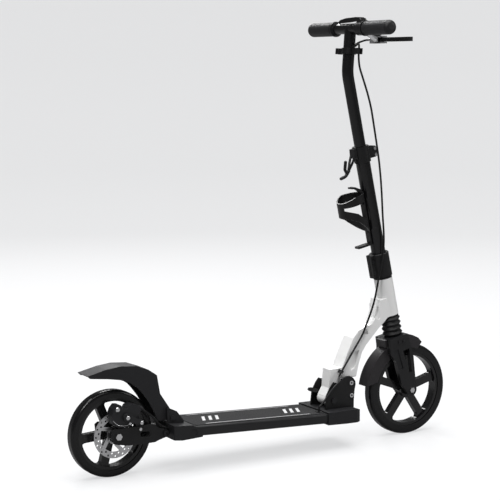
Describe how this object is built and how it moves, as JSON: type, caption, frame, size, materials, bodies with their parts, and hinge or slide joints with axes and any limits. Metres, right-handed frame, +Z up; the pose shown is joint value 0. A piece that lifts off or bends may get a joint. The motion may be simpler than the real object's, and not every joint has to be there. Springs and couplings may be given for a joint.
{
  "type": "kick scooter",
  "caption": "Folding two-wheel kick scooter with large wheels, sprung fork, hollow deck, height-adjustable stem, pull-out grips and a cable disc brake on the rear wheel.",
  "frame": {"origin": "on the ground under the middle of the overall box, halfway between the tyres' outer ends", "axes": "+X forward along the direction of travel, +Y to the rider's left, +Z up from the ground"},
  "size_m": [1.035, 0.34, 1.038],
  "materials": {
    "black_aluminium": "semi-gloss black powder coat",
    "satin_black": "satin black paint",
    "white_paint": "gloss white paint",
    "bolt_steel": "zinc-plated steel",
    "silver_metal": "polished cast aluminium",
    "caliper_metal": "dark painted casting",
    "disc_steel": "ground stainless steel",
    "grey_plastic": "matte dark grey moulded plastic",
    "black_plastic": "satin black moulded plastic",
    "black_rubber": "black moulded rubber",
    "cable_sleeve": "smooth black cable housing",
    "grip_tape": "coarse dark grip surface with pale stripes",
    "grip_rubber": "dark grey textured rubber",
    "tyre": "smooth cast polyurethane"
  },
  "bodies": {
    "deck": {"deck_extrusion": "black_aluminium", "grip_tape": "grip_tape", "front_deck_cap": "grey_plastic", "rear_deck_cap": "grey_plastic", "fold_bracket_right": "satin_black", "fold_bracket_left": "satin_black", "deck_bolts": "bolt_steel", "bracket_spacers": "satin_black", "cable_grommets": "black_rubber", "brake_cable_deck": "cable_sleeve", "kickstand_bracket": "satin_black", "rear_mount": "satin_black", "swing_bush": "black_rubber"},
    "kickstand": {"kickstand_leg": "satin_black"},
    "neck": {"neck_casting": "white_paint", "head_tube": "white_paint", "headset_cups": "satin_black", "cable_clip": "black_plastic", "brake_cable_neck": "cable_sleeve"},
    "fold_lever": {"fold_lever": "black_plastic"},
    "steering": {"steerer_tube": "bolt_steel", "lower_stem_tube": "black_aluminium", "stem_clamp": "satin_black", "height_collar": "satin_black", "stem_bolts": "bolt_steel", "bottle_cage": "black_plastic", "bag_hook": "black_plastic", "brake_cable_stem": "cable_sleeve"},
    "fork": {"fork_casting": "satin_black", "front_fender": "grey_plastic", "fork_fasteners": "bolt_steel", "fork_slider": "bolt_steel", "suspension_spring": "bolt_steel", "fork_boot": "black_rubber"},
    "front_wheel": {"front_tyre": "tyre", "front_rim": "black_plastic", "front_bearings": "bolt_steel"},
    "rear_wheel": {"rear_tyre": "tyre", "rear_rim": "black_plastic", "rear_bearings": "bolt_steel", "brake_disc": "disc_steel", "disc_bolts": "bolt_steel"},
    "swingarm": {"swingarm": "satin_black", "rear_axle": "bolt_steel", "brake_caliper": "caliper_metal", "brake_cable_rear": "cable_sleeve"},
    "caliper_arm": {"caliper_arm": "caliper_metal"},
    "rear_fender": {"rear_fender": "grey_plastic"},
    "handlebar": {"upper_stem_tube": "black_aluminium", "t_tube": "black_aluminium", "clip_collar": "black_plastic", "brake_lever_mount": "silver_metal", "brake_cable_handlebar": "cable_sleeve"},
    "release_lever": {"release_lever": "satin_black"},
    "brake_lever": {"brake_lever": "satin_black"},
    "left_handle": {"left_handle_tube": "bolt_steel", "left_grip": "grip_rubber"},
    "right_handle": {"right_handle_tube": "bolt_steel", "right_grip": "grip_rubber"},
    "left_button": {"left_button": "silver_metal"}
  },
  "joints": [
    {"name": "fold_pivot", "type": "hinge", "parent": "deck", "child": "neck", "pos_m": [0.165, 0, 0.115], "axis": [0, -1, 0], "range_deg": [0, 76], "deforming": ["brake_cable_neck"]},
    {"name": "fold_lever_pivot", "type": "hinge", "parent": "deck", "child": "fold_lever", "pos_m": [0.165, 0.025, 0.115], "axis": [0, -1, 0], "range_deg": [0, 20], "stiffness_Nm_per_rad": 0.5, "springref_deg": -11.46},
    {"name": "kickstand_pivot", "type": "hinge", "parent": "deck", "child": "kickstand", "pos_m": [-0.06, 0.05, 0.065], "axis": [0, -0.9397, -0.342], "range_deg": [0, 90]},
    {"name": "steering", "type": "hinge", "parent": "neck", "child": "steering", "pos_m": [0.395, 0, 0.115], "axis": [-0.2147, 0, 0.9767], "range_deg": [-45, 45], "deforming": ["brake_cable_stem"]},
    {"name": "fork_travel", "type": "slide", "parent": "steering", "child": "fork", "axis": [-0.2147, 0, 0.9767], "range_m": [0, 0.015], "stiffness_N_per_m": 8000, "springref_m": -0.006, "deforming": ["suspension_spring", "fork_boot"]},
    {"name": "front_wheel_spin", "type": "hinge", "parent": "fork", "child": "front_wheel", "pos_m": [0.4025, 0, 0.115], "axis": [0, 1, 0], "continuous": true},
    {"name": "rear_suspension", "type": "hinge", "parent": "deck", "child": "swingarm", "pos_m": [-0.298, 0, 0.094], "axis": [0, 1, 0], "range_deg": [0, 3], "stiffness_Nm_per_rad": 200, "springref_deg": -1.72, "deforming": ["brake_cable_rear"]},
    {"name": "rear_wheel_spin", "type": "hinge", "parent": "swingarm", "child": "rear_wheel", "pos_m": [-0.4175, 0, 0.1], "axis": [0, 1, 0], "continuous": true},
    {"name": "caliper_arm_pivot", "type": "hinge", "parent": "swingarm", "child": "caliper_arm", "pos_m": [-0.399, -0.051, 0.143], "axis": [0, -1, 0], "range_deg": [0, 22]},
    {"name": "rear_fender_pivot", "type": "hinge", "parent": "deck", "child": "rear_fender", "pos_m": [-0.276, 0, 0.125], "axis": [0, -1, 0], "range_deg": [0, 5], "stiffness_Nm_per_rad": 3, "springref_deg": -5.73},
    {"name": "handlebar_height", "type": "slide", "parent": "steering", "child": "handlebar", "axis": [-0.2147, 0, 0.9767], "range_m": [-0.12, 0.04], "deforming": ["brake_cable_handlebar"]},
    {"name": "release_lever_pivot", "type": "hinge", "parent": "handlebar", "child": "release_lever", "pos_m": [0.229, -0.047, 1.0315], "axis": [1, 0, 0], "range_deg": [0, 110]},
    {"name": "brake_lever_pivot", "type": "hinge", "parent": "handlebar", "child": "brake_lever", "pos_m": [0.285, -0.056, 0.985], "axis": [0, 0, -1], "range_deg": [0, 20], "stiffness_Nm_per_rad": 0.6, "springref_deg": -8.59},
    {"name": "left_handle_slide", "type": "slide", "parent": "handlebar", "child": "left_handle", "axis": [0, 1, 0], "range_m": [0, 0.03]},
    {"name": "right_handle_slide", "type": "slide", "parent": "handlebar", "child": "right_handle", "axis": [0, -1, 0], "range_m": [0, 0.03]},
    {"name": "left_button_press", "type": "slide", "parent": "left_handle", "child": "left_button", "axis": [0, 0, -1], "range_m": [0, 0.0035], "stiffness_N_per_m": 300, "springref_m": -0.002}
  ],
  "couplings": [
    {"joint": "caliper_arm_pivot", "follows": "brake_lever_pivot", "ratio": 1.1}
  ]
}
